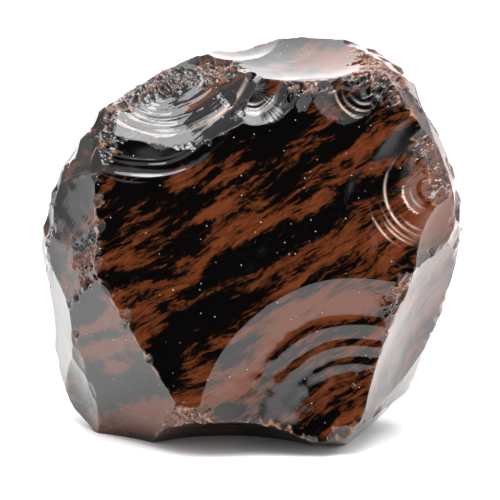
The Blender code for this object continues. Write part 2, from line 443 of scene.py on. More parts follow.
    def local(self, points: np.ndarray) -> np.ndarray:
        """Lays each point out round the place where the break began, for the fine lines.

        Args:
            points: Places on the scar.

        Returns:
            The arc round that place and the way out from it, one row for each point.
        """
        start = self.strike if self.burst is None else np.array(self.burst)
        across = points - start
        across = across - np.outer(across @ self.facing, self.facing)
        side, rise = self.axes
        out = np.linalg.norm(across, axis=1)
        return np.stack([np.arctan2(across @ rise, across @ side) * self.reach, out], axis=1)


def face_scar(
    name: str,
    x: float,
    z: float,
    reach: float,
    steep: float,
    rings: tuple[Ring, ...] = (),
    calm: Triple = (0.0, 0.0, 0.0),
    level: float = 0.0,
    uneven: float = 0.003,
) -> Scar:
    """A scar on the broad front face whose rim is a circle on it.

    Args:
        name: The scar's name.
        x: Where its middle is.
        z: Where its middle is.
        reach: Its rim's radius.
        steep: The surface's slope at the rim, in degrees.
        rings: Its ripples.
        calm: The way in which the ripples die down.
        level: How much flatter than a plain bowl its floor is.
        uneven: How unevenly its ripples stand.

    Returns:
        The scar.
    """
    point = on_face(x, z)
    facing = FACE_NORMAL + (on_plane(x, z) - FACE_POINT) / FACE_BULGE
    facing /= np.linalg.norm(facing)
    strike = point - facing * reach * reach / (2.0 * FACE_BULGE)
    return Scar(
        name,
        strike,
        facing,
        reach,
        steep,
        rings,
        calm=calm,
        level=level,
        uneven=uneven,
        hackle=FACE_HACKLE,
    )


@dataclass(frozen=True)
class Zone:
    """A round patch of the surface where something is stronger."""

    centre: np.ndarray
    radius: float
    strength: float = 1.0

    def share(self, points: np.ndarray) -> np.ndarray:
        """How strongly each point feels the zone, from 0 to its strength."""
        gap = np.linalg.norm(points - self.centre, axis=1) / self.radius
        return self.strength * np.exp(-(gap**2))


Ridge = tuple[np.ndarray, np.ndarray, np.ndarray, np.ndarray]


@dataclass
class RoughBlock:
    """The convex block that the corners span, before any scar is struck.

    A ridge is its start and end, and how the sides that meet there face. An edge counts as one
    where the sides turn by more than least_turn degrees.
    """

    flats: list[Flat] = field(default_factory=list)
    ridges: list[Ridge] = field(default_factory=list)
    least_turn: float = 8.0

    def corners(self) -> list[np.ndarray]:
        """Every corner of the block.

        Returns:
            Their places.
        """
        points = [on_plane(x, z) for x, z in FRONT_RIM.values()]
        points += [np.array(place) for place in OUTLINE.values()]
        points += [np.array(place) for place in BACK.values()]
        points += [place(x, y, -0.6) for x, y in BASE.values()]
        return points

    def build(self) -> None:
        """Finds the block's sides and ridges with a convex hull."""
        bm = bmesh.new()
        for point in self.corners():
            bm.verts.new(Vector(point))
        hull = bmesh.ops.convex_hull(bm, input=bm.verts)
        inside = {item for item in hull["geom_interior"] if isinstance(item, bmesh.types.BMVert)}
        bmesh.ops.delete(bm, geom=list(inside), context="VERTS")
        bmesh.ops.recalc_face_normals(bm, faces=bm.faces)
        self.flats = [Flat(np.array(face.verts[0].co), np.array(face.normal)) for face in bm.faces]
        for edge in bm.edges:
            one, other = (np.array(face.normal) for face in edge.link_faces)
            if one @ other < math.cos(math.radians(self.least_turn)):
                start, end = (np.array(vert.co) for vert in edge.verts)
                self.ridges.append((start, end, one, other))
        bm.free()


@dataclass
class Breaks:
    """Everything that was struck off the block: large scars, ridge chips and crushed patches.

    Chips and flakes stay out of the stone's foot, below lowest_chip and lowest_flake, and flakes
    are only struck in front of flaked_depth.
    """

    chip_spacing: float = 7.0
    chip_seed: int = 7
    chip_reach: tuple[float, float] = (2.0, 5.0)
    chip_steep: tuple[float, float] = (10.0, 26.0)
    lowest_chip: float = 2.0
    flake_seed: int = 23
    flake_chance: float = 0.10
    flake_chance_crushed: float = 0.45
    flake_steep: tuple[float, float] = (6.0, 18.0)
    flaked_depth: float = 7.0
    lowest_flake: float = 1.5

    def large(self) -> list[Scar]:
        """The scars that show from a step away.

        Returns:
            The scars, front and left ones first.
        """
        return [
            Scar("left_low_face", place(-27.0, -25.2, 27.6), direction(-48, -18), 40.0, 3),
            Scar(
                "left_high_face",
                place(-38.4, -18.2, 58.6),
                direction(-60, 7),
                30.0,
                5,
                burst=(-70.0, 20.0, 15.0),
                hackle=1.6,
            ),
            Scar(
                "left_sliver",
                place(-46.7, -2.0, 25.0),
                direction(-71.5, -10),
                30.0,
                6,
                burst=(-46.0, 0.0, 120.0),
            ),
            Scar(
                "undercut",
                place(-5.5, -22.0, 2.0),
                direction(-3, -80),
                22.5,
                35,
                (Ring(15.0, -0.3, 1.5),),
            ),
            Scar(
                "crest",
                place(-22.7, -4.9, 85.2),
                direction(-2, 38),
                14.3,
                14,
                (
                    Ring(11.0, 0.16, 0.7, -110, 30),
                    Ring(13.2, 0.20, 0.6, -70, 34),
                    Ring(14.6, 0.16, 0.4, -120, 28),
                    Ring(16.4, 0.24, 0.6, -85, 30),
                    Ring(18.0, 0.12, 0.35, -115, 24, 0.2),
                    Ring(20.8, -0.10, 0.5, -45, 22, 0.5),
                    Ring(19.4, 0.20, 0.5, -70, 26),
                    Ring(21.0, 0.16, 0.4, -110, 26, 0.3),
                ),
                uneven=0.010,
                hackle=4.5,
                burst=(18.0, 0.0, 103.0),
                hub=(2.4, 12.5),
            ),
            Scar("crest_top", place(-22.0, 2.0, 91.0), direction(-10, 68), 12.0, 12),
            face_scar(
                "crest_ripples",
                -25.6,
                91.0,
                25.0,
                7,
                (
                    Ring(20.9, 0.20, 0.6, -45, 38),
                    Ring(19.6, 0.05, 0.35, -100, 40),
                    Ring(24.0, 0.24, 0.65, -80, 24),
                ),
            ),
            face_scar(
                "foot_ripples",
                26.0,
                6.5,
                38.5,
                13,
                (
                    Ring(27.4, 0.27, 2.0, 88, 50),
                    Ring(22.4, 0.20, 1.5, 88, 48),
                    Ring(18.2, 0.06, 1.4, 88, 45),
                ),
                (-0.9, 0.0, -0.42),
                1.0,
            ),
            Scar(
                "top_nick",
                place(0.6, -7.9, 89.0),
                direction(3, 20),
                7.0,
                24,
                (
                    Ring(4.2, 0.10, 0.4, -100, 60),
                    Ring(5.4, 0.10, 0.3, -60, 60),
                    Ring(6.2, 0.08, 0.4, -90, 60, 0.3),
                ),
                level=0.6,
                uneven=0.02,
                hackle=2.5,
            ),
            Scar(
                "top_right",
                on_face(28.0, 89.5),
                direction(-3, 17),
                8.0,
                8,
                (
                    Ring(7.2, -0.08, 0.18, -130, 45, 0.6),
                    Ring(5.6, 0.10, 0.18, -115, 34, 0.5),
                    Ring(4.3, 0.16, 0.5, -110, 50),
                    Ring(2.4, 0.10, 0.4, -60, 60),
                ),
                hackle=2.0,
            ),
            face_scar(
                "right_bulb",
                43.8,
                65.3,
                7.2,
                10,
                (
                    Ring(6.6, -0.08, 0.24, 196, 62, 0.9),
                    Ring(4.7, -0.05, 0.18, 214, 34, 0.4),
                    Ring(2.2, 0.24, 0.45),
                ),
            ),
            face_scar(
                "right_ripples",
                44.6,
                65.3,
                17.6,
                0.8,
                (
                    Ring(11.8, -0.11, 0.20, 204, 40, 0.8),
                    Ring(13.4, -0.05, 0.18, 226, 18, 0.5),
                    Ring(14.4, -0.06, 0.18, 230, 13, 0.7),
                    Ring(16.2, -0.06, 0.18, 218, 12, 0.6),
                    Ring(10.3, -0.05, 0.18, 238, 14, 0.5),
                ),
                uneven=0.004,
            ),
            Scar("foot_arch", on_face(-2.5, 9.0), direction(-5, -40), 5.0, 30),
            Scar("foot_left", on_face(-16.0, 10.0), direction(-22, -30), 9.0, 20),
            Scar("left_shoulder", place(-48.5, 0.0, 67.0), direction(-66, 18), 11.0, 12),
            Scar("left_high", place(-48.5, -7.0, 47.0), direction(-70, -6), 9.0, 12),
            Scar(
                "left_crescents",
                place(-39.6, -16.7, 46.0),
                direction(-60, 2),
                13.0,
                3,
                (
                    Ring(11.6, -0.40, 0.30, 135, 34),
                    Ring(10.4, -0.24, 0.25, 140, 26),
                    Ring(8.3, -0.34, 0.28, 130, 34),
                ),
            ),
            Scar(
                "left_notch_low",
                place(-40.8, -12.0, 69.8),
                direction(-14, 30),
                3.4,
                16,
                (Ring(2.0, 0.1, 0.3),),
            ),
            Scar("left_edge_1", place(-43.9, 0.0, 72.3), direction(-78, 26), 3.6, 20),
            Scar("left_edge_2", place(-48.4, 2.5, 65.2), direction(-84, 16), 3.8, 18),
            Scar("left_edge_3", place(-50.9, 5.5, 58.6), direction(-80, 14), 3.2, 20),
            Scar("left_edge_4", place(-53.2, 10.0, 49.5), direction(-86, 8), 4.6, 16),
            Scar("left_edge_5", place(-39.2, -2.2, 80.0), direction(-70, 34), 3.0, 20),
            Scar(
                "left_dish",
                place(-42.8, -1.9, 16.5),
                direction(-52, -12),
                5.2,
                9,
                (
                    Ring(4.6, 0.12, 0.28, 0, 60, 0.9),
                    Ring(3.6, 0.10, 0.25, 0, 60, 0.5),
                    Ring(2.6, 0.10, 0.25, 0, 60, 0.5),
                ),
            ),
            Scar("left_toe", place(-39.9, 0.3, 7.0), direction(-64, -14), 6.0, 6, hackle=2.0),
            Scar("left_toe_mid", place(-34.5, -3.4, 3.3), direction(-32, -34), 5.5, 6, hackle=2.0),
            Scar("left_low", place(-44.0, -3.0, 10.0), direction(-52, -18), 9.0, 14),
            Scar("left_flank", place(-53.0, 14.0, 30.0), direction(-86, -4), 20.0, 16),
            Scar("top_back", place(22.0, 24.0, 97.0), direction(170, 62), 15.0, 18),
            Scar("top_flat", place(11.0, -1.0, 93.6), direction(-4, 79), 16.0, 14),
            Scar("top_saddle", place(-1.5, 12.0, 96.6), direction(-15, 80), 10.0, 22),
            Scar("crest_back", place(-22.0, 12.0, 92.0), direction(-140, 50), 15.0, 20),
            Scar("right_shoulder", place(38.9, -4.8, 88.3), direction(60, 28), 5.5, 12, hackle=1.0),
            Scar("right_edge", place(50.5, 2.0, 70.5), direction(74, 22), 7.0, 16),
            Scar("right_edge_high", place(44.4, 6.0, 80.4), direction(80, 30), 6.0, 18),
            Scar("right_rim", place(46.5, -10.0, 71.5), direction(48, 24), 4.5, 16),
            Scar("right_flank", place(46.3, -12.6, 50.0), direction(46, -1), 7.5, 14),
            Scar(
                "right_foot",
                place(38.2, -12.6, 28.1),
                direction(64, -16),
                20.0,
                11,
                burst=(22.0, -26.0, -4.0),
                hackle=2.5,
            ),
            Scar(
                "right_outer",
                place(42.9, -2.8, 21.3),
                direction(60, -22),
                8.0,
                4,
                burst=(24.0, -14.0, -4.0),
                hackle=2.0,
            ),
            Scar("right_heel", place(44.0, 14.0, 18.0), direction(96, -14), 12.0, 20),
            Scar(
                "back_high",
                place(4.0, 36.0, 80.0),
                direction(176, 14),
                34.0,
                14,
                (Ring(26.0, 0.4, 2.2),),
            ),
            Scar(
                "back_low",
                place(12.0, 32.0, 18.0),
                direction(172, -14),
                28.0,
                16,
                (Ring(21.0, 0.4, 2.0),),
            ),
            Scar(
                "back_left",
                place(-44.0, 26.0, 50.0),
                direction(-138, 6),
                24.0,
                16,
                (Ring(18.0, 0.3, 1.6),),
            ),
            Scar("back_right", place(46.0, 20.0, 56.0), direction(130, 4), 22.0, 16),
        ]

    def crushed_zones(self) -> list[Zone]:
        """The patches where the ridges were bruised into many tiny flakes.

        Returns:
            The patches.
        """
        patches = [
            (-39.7, -14.0, 46.9, 5.5, 1.0),
            (-37.2, -16.5, 52.8, 3.0, 0.8),
            (-34.6, -12.0, 74.6, 2.6, 0.9),
            (-36.5, -12.5, 77.5, 2.8, 0.9),
            (-36.7, -8.5, 79.5, 3.5, 1.0),
            (-34.5, -6.0, 83.5, 3.0, 0.9),
            (-27.3, -1.0, 87.5, 4.5, 0.9),
            (-22.5, 1.0, 90.0, 4.5, 1.0),
            (-15.8, 2.0, 92.0, 5.0, 1.0),
            (-9.0, 3.0, 93.0, 4.5, 1.0),
            (-4.3, -1.0, 92.5, 3.5, 0.8),
            (-7.5, -6.5, 87.5, 2.8, 0.8),
            (-4.0, -9.5, 84.2, 2.2, 0.8),
            (7.0, -9.5, 88.5, 2.0, 0.7),
            (9.8, -11.0, 90.0, 3.2, 1.0),
            (15.0, -11.0, 90.2, 3.2, 1.0),
            (20.0, -10.0, 90.8, 2.6, 0.8),
            (25.7, -9.0, 92.5, 3.2, 0.9),
            (30.7, -8.5, 93.2, 3.6, 1.0),
            (33.5, -10.0, 88.5, 3.6, 1.0),
            (27.5, 8.0, 96.4, 2.6, 0.8),
            (29.8, 2.9, 95.2, 3.4, 1.0),
            (31.9, -3.0, 93.8, 3.6, 1.0),
            (35.0, -1.6, 92.1, 3.6, 1.0),
            (37.2, -2.9, 90.2, 3.0, 0.9),
            (41.5, -13.0, 74.4, 2.8, 0.8),
            (45.0, -13.0, 70.5, 3.2, 1.0),
            (47.5, -12.5, 66.5, 3.0, 0.9),
            (46.0, -13.0, 64.0, 1.8, 0.8),
            (37.4, -21.7, 41.5, 3.6, 1.0),
            (35.0, -21.8, 36.8, 3.0, 1.0),
            (28.5, -24.0, 22.0, 2.6, 0.7),
            (26.5, -25.0, 18.5, 2.6, 0.7),
            (21.0, -27.0, 7.5, 3.6, 0.9),
            (12.5, -27.0, 7.5, 2.4, 0.6),
            (-17.0, -25.6, 9.5, 4.6, 1.0),
            (-11.0, -27.5, 9.7, 2.6, 0.8),
            (-22.0, -21.0, 7.0, 2.2, 0.7),
            (-30.4, -22.7, 33.5, 1.6, 0.7),
        ]
        return [Zone(place(x, y, z), radius, share) for x, y, z, radius, share in patches]

    def chips(self, ridges: list[Ridge]) -> list[Scar]:
        """The small scars strewn along the ridges, the same ones that the solid has.

        Args:
            ridges: The rough block's ridges.

        Returns:
            The scars.
        """
        dice = random.Random(self.chip_seed)
        made = []
        for start, end, one, other in ridges:
            length = float(np.linalg.norm(end - start))
            for _ in range(int(length / self.chip_spacing + dice.random())):
                share = dice.random()
                side = dice.random()
                jitter = np.array([dice.gauss(0.0, 0.15) for _ in range(3)])
                facing = one * side + other * (1.0 - side) + jitter
                facing /= np.linalg.norm(facing)
                reach = dice.uniform(*self.chip_reach)
                steep = dice.uniform(*self.chip_steep)
                strike = start + (end - start) * share
                if strike[2] > self.lowest_chip:
                    chip = Scar("chip", strike, facing, reach, steep, whole=False, uneven=0.015)
                    made.append(chip)
        return made

    def flakes(self, points: np.ndarray, facings: np.ndarray, zones: list[Zone]) -> list[Scar]:
        """The tiny flakes bruised off the finished ridges.

        Args:
            points: Places along the ridges.
            facings: The direction that each place faces.
            zones: Where the bruising is thickest.

        Returns:
            One tiny scar for each place that the dice pick.
        """
        dice = random.Random(self.flake_seed)
        crush = np.minimum(1.0, sum(zone.share(points) for zone in zones))
        made = []
        for point, facing, thick in zip(points, facings, crush):
            chance = self.flake_chance + self.flake_chance_crushed * thick
            if dice.random() > chance or point[1] > self.flaked_depth:
                continue
            turn = facing + np.array([dice.gauss(0.0, 0.30) for _ in range(3)])
            turn /= np.linalg.norm(turn)
            reach = dice.uniform(0.6, 1.3 + 1.0 * thick)
            drift = np.array([dice.gauss(0.0, 0.4 + 1.2 * thick) for _ in range(3)])
            drift -= facing * (drift @ facing)
            steep = dice.uniform(*self.flake_steep)
            made.append(Scar("flake", point + drift, turn, reach, steep, whole=False, uneven=0.03))
        return made


@dataclass
class BrokenSurface:
    """The nearest of many breaks, seen from the heart of the stone."""

    breaks: list[Flat | Scar]

    def nearest(self, aim: np.ndarray) -> tuple[np.ndarray, np.ndarray]:
        """Finds the surface.

        Args:
            aim: Unit directions from the heart, one in each row.

        Returns:
            How far out the surface is along each aim, and which break it belongs to.
        """
        best = np.full(len(aim), NEVER)
        owner = np.zeros(len(aim), dtype=int)
        for index, item in enumerate(self.breaks):
            rows = item.near(aim)
            if not len(rows):
                continue
            reached = item.distance(aim[rows])
            closer = reached < best[rows]
            best[rows[closer]] = reached[closer]
            owner[rows[closer]] = index
        return best, owner

    def along(self, aim: np.ndarray, which: np.ndarray) -> np.ndarray:
        """How far out each aim meets the break that is named for it.

        Args:
            aim: Unit directions from the heart, one in each row.
            which: The number of a break for each aim.

        Returns:
            The distance along each aim.
        """
        reached = np.empty(len(aim))
        for index in np.unique(which):
            rows = np.nonzero(which == index)[0]
            reached[rows] = self.breaks[index].distance(aim[rows])
        return reached

    def onto_ridges(self, aim: np.ndarray, edges: np.ndarray) -> np.ndarray:
        """Turns the aims next to a ridge so that they point straight at it.

        Args:
            aim: Unit directions from the heart, one in each row.
            edges: Which aims are neighbours, as pairs of row numbers.

        Returns:
            The turned aims.
        """
        best, owner = self.nearest(aim)
        first, second = edges[:, 0], edges[:, 1]
        crossing = owner[first] != owner[second]
        first, second = first[crossing], second[crossing]
        gap_first = best[first] - self.along(aim[first], owner[second])
        gap_second = self.along(aim[second], owner[first]) - best[second]
        share = np.clip(gap_first / np.minimum(gap_first - gap_second, -1e-9), 0.0, 1.0)
        moved = aim.copy()
        closest = np.full(len(aim), 0.5)
        for index in np.argsort(-np.minimum(share, 1.0 - share)):
            near, far, along = first[index], second[index], share[index]
            if along > 0.5:
                near, far, along = far, near, 1.0 - along
            if along <= closest[near]:
                closest[near] = along
                moved[near] = aim[near] + (aim[far] - aim[near]) * along
        return moved / np.linalg.norm(moved, axis=1)[:, None]


class Tone(Enum):
    """Which way a streak of the flow bands leans."""

    BLACK = 1.0
    BROWN = -1.0


@dataclass(frozen=True)
class Lens:
    """A streak of one colour in the flow bands.

    x and z place its middle on the front face, length and width are its half sizes, rise is how
    steeply it climbs to the right in degrees, and strength is how firmly it takes its tone.
    """

    x: float
    z: float
    length: float
    width: float
    rise: float
    strength: float
    tone: Tone

    def share(self, points: np.ndarray) -> np.ndarray:
        """How strongly each point feels the streak, which runs some way back into the stone.

        Args:
            points: Places on the stone.

        Returns:
            The strength at each, above 0 for black and below it for brown.
        """
        climb = math.radians(self.rise)
        within = on_plane(1.0, FACE_POINT[2]) - FACE_POINT
        upward = on_plane(0.0, FACE_POINT[2] + 1.0) - FACE_POINT
        within, upward = within / np.linalg.norm(within), upward / np.linalg.norm(upward)
        gap = points - on_plane(self.x, self.z)
        along = gap @ (within * math.cos(climb) + upward * math.sin(climb))
        across = gap @ (upward * math.cos(climb) - within * math.sin(climb))
        behind = gap @ FACE_NORMAL
        far = (along / self.length) ** 2 + (across / self.width) ** 2 + (behind / STREAK_DEPTH) ** 2
        return self.tone.value * self.strength * np.exp(-far)


@dataclass
class FlowBands:
    """The layers of black and red-brown glass that run through the stone."""

    rise: float = 31.0
    lean_back: float = 10.0

    def axes(self) -> Matrix:
        """Works out the layers' own axes.

        Returns:
            A rotation whose columns run along the flow, within the layer, and across it.
        """
        climb = math.radians(self.rise)
        long = Vector((math.cos(climb), 0.1, math.sin(climb))).normalized()
        thin = Vector((-math.sin(climb), -math.sin(math.radians(self.lean_back)), math.cos(climb)))
        thin = (thin - long * thin.dot(long)).normalized()
        wide = thin.cross(long)
        return Matrix((long, wide, thin)).transposed()

    def lenses(self) -> list[Lens]:
        """The large streaks that set where the stone is mostly black or mostly brown.

        Returns:
            The streaks, black ones first. The wide black one low at the front is painted shade
            under the overhang, not a band.
        """
        black = [
            (5.0, 80.0, 8.0, 5.0, 25.0, 1.0),
            (-14.0, 62.0, 11.0, 2.6, 32.0, 1.0),
            (-32.0, 64.5, 4.5, 2.8, 35.0, 0.9),
            (-33.5, 57.0, 4.0, 2.5, 30.0, 0.9),
            (-13.5, 54.5, 5.5, 1.8, 35.0, 1.0),
            (8.5, 67.0, 7.5, 1.6, 33.0, 1.0),
            (18.5, 68.5, 2.2, 1.6, 20.0, 0.8),
            (30.0, 65.5, 4.5, 1.8, 15.0, 0.9),
            (37.0, 74.5, 5.0, 1.4, 20.0, 1.0),
            (13.0, 55.0, 14.0, 3.1, 28.0, 1.1),
            (-6.0, 47.5, 7.5, 2.5, 35.0, 1.1),
            (-11.5, 35.5, 15.0, 3.8, 33.0, 1.2),
            (-21.5, 24.0, 6.0, 4.0, 50.0, 1.1),
            (-33.0, 44.0, 4.5, 1.1, 25.0, 0.9),
            (-20.0, 37.0, 3.0, 1.8, 20.0, 0.9),
            (11.0, 19.0, 7.0, 2.4, 35.0, 1.1),
            (-1.0, 25.5, 4.0, 1.2, 25.0, 0.8),
            (-3.5, 13.0, 4.5, 1.6, 10.0, 0.6),
            (-27.0, 76.0, 9.0, 3.0, 10.0, 1.2),
            (-12.0, 80.0, 8.0, 4.0, 40.0, 1.0),
            (-22.0, 86.0, 12.0, 4.5, 20.0, 1.2),
            (-44.0, 62.0, 5.0, 12.0, 0.0, 0.9),
            (8.0, 96.0, 14.0, 4.0, 0.0, 0.8),
            (-39.5, 36.5, 4.0, 1.8, 10.0, 2.4),
            (-36.6, 31.0, 5.0, 1.1, 15.0, 2.0),
            (-30.5, 18.5, 11.0, 2.8, 5.0, 2.8),
            (-38.0, 21.5, 3.5, 4.0, 0.0, 1.5),
            # Painted shade: a wide black streak under the overhanging front, where the stone sits
            # in shadow.
            (5.0, 1.0, 30.0, 5.0, 0.0, 1.8),
            (4.0, 84.5, 8.0, 2.8, 20.0, 2.0),
            (27.0, 84.0, 7.0, 2.4, 28.0, 1.8),
            (23.5, 76.5, 6.0, 1.8, 32.0, 1.6),
            (36.0, 77.0, 6.0, 1.6, 32.0, 1.4),
            (5.0, 76.5, 6.0, 2.0, 30.0, 1.4),
            (-12.0, 79.5, 8.0, 2.4, 30.0, 1.6),
            (12.0, 79.5, 6.0, 2.0, 25.0, 1.2),
            (-8.0, 76.0, 8.0, 2.0, 30.0, 1.4),
        ]
        brown = [
            (-3.0, 71.0, 5.0, 3.0, 30.0, 1.0),
            (-25.0, 51.5, 12.0, 1.6, 28.0, 1.0),
            (1.0, 57.0, 20.5, 2.1, 33.0, 1.0),
            (15.0, 80.5, 9.0, 1.6, 32.0, 1.0),
            (30.0, 77.5, 10.5, 3.8, 28.0, 1.0),
            (28.0, 51.0, 12.5, 4.4, 25.0, 1.0),
            (-13.5, 21.0, 7.0, 2.2, 45.0, 0.8),
            (-17.5, 41.0, 9.5, 2.4, 25.0, 1.0),
            (-17.5, 66.5, 4.5, 1.4, 55.0, 0.8),
            (22.0, 38.5, 14.5, 3.8, 10.0, 0.8),
            (-8.5, 17.0, 7.0, 4.4, 45.0, 0.7),
            (17.0, 14.5, 5.5, 3.1, 40.0, 0.6),
            (-36.0, 33.8, 6.5, 1.7, 20.0, 3.2),
            (-35.4, 27.7, 7.5, 2.3, 15.0, 3.4),
            (-32.7, 23.4, 3.4, 1.9, 15.0, 3.2),
            (-30.0, 10.0, 11.0, 4.4, 5.0, 3.4),
            (-20.0, 12.0, 6.0, 4.0, 10.0, 1.3),
            (-41.5, 49.0, 6.0, 1.6, 38.0, 2.6),
            (-41.0, 56.5, 6.0, 1.0, 38.0, 1.2),
            (47.0, 60.0, 8.0, 26.0, 0.0, 1.3),
            (40.0, 24.0, 8.0, 16.0, -30.0, 1.3),
            (-14.0, 10.0, 8.0, 3.0, 10.0, 0.6),
            (35.0, 95.0, 8.0, 5.0, -20.0, 1.2),
            (24.0, 98.0, 14.0, 5.0, 12.0, 2.4),
            (10.0, 33.0, 10.0, 3.0, 42.0, 1.7),
            (0.0, 22.0, 8.0, 2.6, 58.0, 1.5),
            (25.0, 38.0, 12.0, 3.0, 4.0, 1.5),
        ]
        streaks = [Lens(*streak, Tone.BLACK) for streak in black]
        return streaks + [Lens(*streak, Tone.BROWN) for streak in brown]

    def darkness(self, points: np.ndarray) -> np.ndarray:
        """How far each point leans to black, above 0, or to brown, below 0."""
        return sum(lens.share(points) for lens in self.lenses())


@dataclass
class Stone:
    """The one piece of glass, with its mesh and its painted-in values.

    A ridge is where two breaks meet at more than ridge_turn degrees. Where the crushed zones are
    stronger than patch_share, flakes also lie off the ridges. Edges that turn by more than
    sharp_turn degrees are shaded sharp.
    """

    base_cuts: int = 6
    ridge_turn: float = 14.0
    patch_share: float = 0.45
    sharp_turn: float = 24.0
    bands: FlowBands = field(default_factory=FlowBands)
    breaks: Breaks = field(default_factory=Breaks)
    surface: BrokenSurface | None = None

    def strike(self) -> None:
        """Lists every break: block, scars, chips, then flakes on the ridges that those leave."""
        block = RoughBlock()
        block.build()
        rest = Flat(np.zeros(3), place(0.0, 0.0, -1.0), "rest")
        bulge = math.radians(5.0)
        rim = FACE_POINT - FACE_NORMAL * FACE_BULGE * math.sin(bulge) * math.tan(bulge / 2.0)
        reach, steep = FACE_BULGE * math.sin(bulge), -math.degrees(bulge)
        face = Scar("broad_face", rim, FACE_NORMAL, reach, steep, uneven=0.0)
        items = [face, rest, *block.flats, *self.breaks.large(), *self.breaks.chips(block.ridges)]
        self.surface = BrokenSurface(items)
        aim, edges = self.ball(self.base_cuts)
        best, owner = self.surface.nearest(aim)
        points = HEART + aim * best[:, None]
        facing = np.array([item.facing for item in items])
        first, second = edges[:, 0], edges[:, 1]
        turn = np.einsum("ij,ij->i", facing[owner[first]], facing[owner[second]])
        bent = turn < math.cos(math.radians(self.ridge_turn))
        ridge = np.nonzero((owner[first] != owner[second]) & bent)[0]
        middle = (points[first] + points[second])[ridge] / 2.0
        mean = (facing[owner[first]] + facing[owner[second]])[ridge]
        mean /= np.linalg.norm(mean, axis=1)[:, None]
        zones = self.breaks.crushed_zones()
        thick = sum(zone.share(points) for zone in zones)
        patch = np.nonzero(thick > self.patch_share)[0]
        spots = np.concatenate([middle, points[patch]])
        spot_facing = np.concatenate([mean, facing[owner[patch]]])
        high = spots[:, 2] > self.breaks.lowest_flake
        flakes = self.breaks.flakes(spots[high], spot_facing[high], zones)
        LOG.info("breaks: %d large and small, %d flakes", len(items), len(flakes))
        self.surface = BrokenSurface(items + flakes)

    def ball(self, cuts: int) -> tuple[np.ndarray, np.ndarray]:
        """Spreads unit directions over a ball.

        Args:
            cuts: How finely the ball is cut.

        Returns:
            The directions, and the pairs of them that are neighbours.
        """
        bm = bmesh.new()
        bmesh.ops.create_icosphere(bm, subdivisions=cuts, radius=1.0)
        aim, edges = self.read(bm)
        bm.free()
        return aim, edges

    @staticmethod
    def read(bm: bmesh.types.BMesh) -> tuple[np.ndarray, np.ndarray]:
        """Reads a ball that has the heart at its middle.

        Args:
            bm: The ball.

        Returns:
            The directions of its vertices, and its edges as pairs of vertex numbers.
        """
        bm.verts.index_update()
        aim = np.array([vert.co for vert in bm.verts], dtype=float)
        aim /= np.linalg.norm(aim, axis=1)[:, None]
        edges = np.array([(edge.verts[0].index, edge.verts[1].index) for edge in bm.edges])
        return aim, edges

    def refine(self, bm: bmesh.types.BMesh, level: int) -> None:
        """Cuts the ball finer where this level needs it.

        Args:
            bm: The ball.
            level: 1 for the shown sides and every ridge, 2 for the ripples and the front ridges,
                3 for the crushed patches.
        """
        aim, edges = self.read(bm)
        best, owner = self.surface.nearest(aim)
        points = HEART + aim * best[:, None]
        names = np.array([item.name for item in self.surface.breaks])[owner]
        crush = sum(zone.share(points) for zone in self.breaks.crushed_zones())
        crossing = owner[edges[:, 0]] != owner[edges[:, 1]]
        ahead = (aim[edges[:, 0], 1] < 0.12) | (aim[edges[:, 0], 2] > 0.8)
        if level == 1:
            fine = (aim[:, 1] < 0.25) | (aim[:, 2] > 0.7)
            fine[edges[crossing].ravel()] = True
        elif level == 2:
            fine = np.isin(names, RIPPLED) | (crush > 0.25)
            fine[edges[crossing & ahead].ravel()] = True
        else:
            fine = crush > 0.6
            near = crossing & ahead & (crush[edges[:, 0]] > 0.25)
            fine[edges[near].ravel()] = True
            fine |= self.rung(points, owner)[0] > 0.25
        bm.edges.index_update()
        bm.edges.ensure_lookup_table()
        cut = [face for face in bm.faces if any(fine[vert.index] for vert in face.verts)]
        # In the order of their numbers, so that each run cuts the faces in the same way.
        numbers = sorted({edge.index for face in cut for edge in face.edges})
        chosen = [bm.edges[number] for number in numbers]
        bmesh.ops.subdivide_edges(bm, edges=chosen, cuts=1, use_grid_fill=True)
        bmesh.ops.triangulate(bm, faces=[face for face in bm.faces if len(face.verts) > 3])
        LOG.info("level %d: %d faces", level, len(bm.faces))

    def rung(self, points: np.ndarray, owner: np.ndarray) -> tuple[np.ndarray, np.ndarray]:
        """Finds the narrow ripples.

        Args:
            points: Places on the stone.
            owner: The number of the break that each belongs to.

        Returns:
            How close each is to a narrow ripple of its own break, and how strongly a pale painted
            highlight lies there.
        """
        close = np.zeros(len(points))
        pale = np.zeros(len(points))
        for index in np.unique(owner):
            item = self.surface.breaks[index]
            if isinstance(item, Scar) and item.rings:
                rows = np.nonzero(owner == index)[0]
                close[rows], pale[rows] = item.marks(points[rows])
        return close, pale

    def ripple(self, points: np.ndarray) -> np.ndarray:
        """The slight swell of the whole surface.

        Args:
            points: Places on the stone.

        Returns:
            How far each is pushed out along its aim, in millimetres.
        """
        swell = np.empty(len(points))
        for index, point in enumerate(points):
            place = Vector(point)
            swell[index] = 0.10 * noise.noise(place * 0.11) + 0.035 * noise.noise(place * 0.35)
        return swell

    def crumble(self, points: np.ndarray, crush: np.ndarray) -> np.ndarray:
        """The small tilted crumbs of the crushed patches.

        Args:
            points: Places on the stone.
            crush: How crushed each is, from 0 to 1.

        Returns:
            How far each is pushed out along its aim, in millimetres.
        """
        rough = np.zeros(len(points))
        for index in np.nonzero(crush > 0.02)[0]:
            place = Vector(points[index])
            total = -0.25
            for size, step, tilt in ((1.3, 0.45, 0.60), (0.55, 0.16, 0.55)):
                seed = noise.voronoi(place / size)[1][0]
                lean = noise.noise_vector(seed * 3.71)
                total += step * noise.noise(seed * 5.13) + tilt * lean.dot(place - seed * size)
            rough[index] = total * crush[index]
        return rough

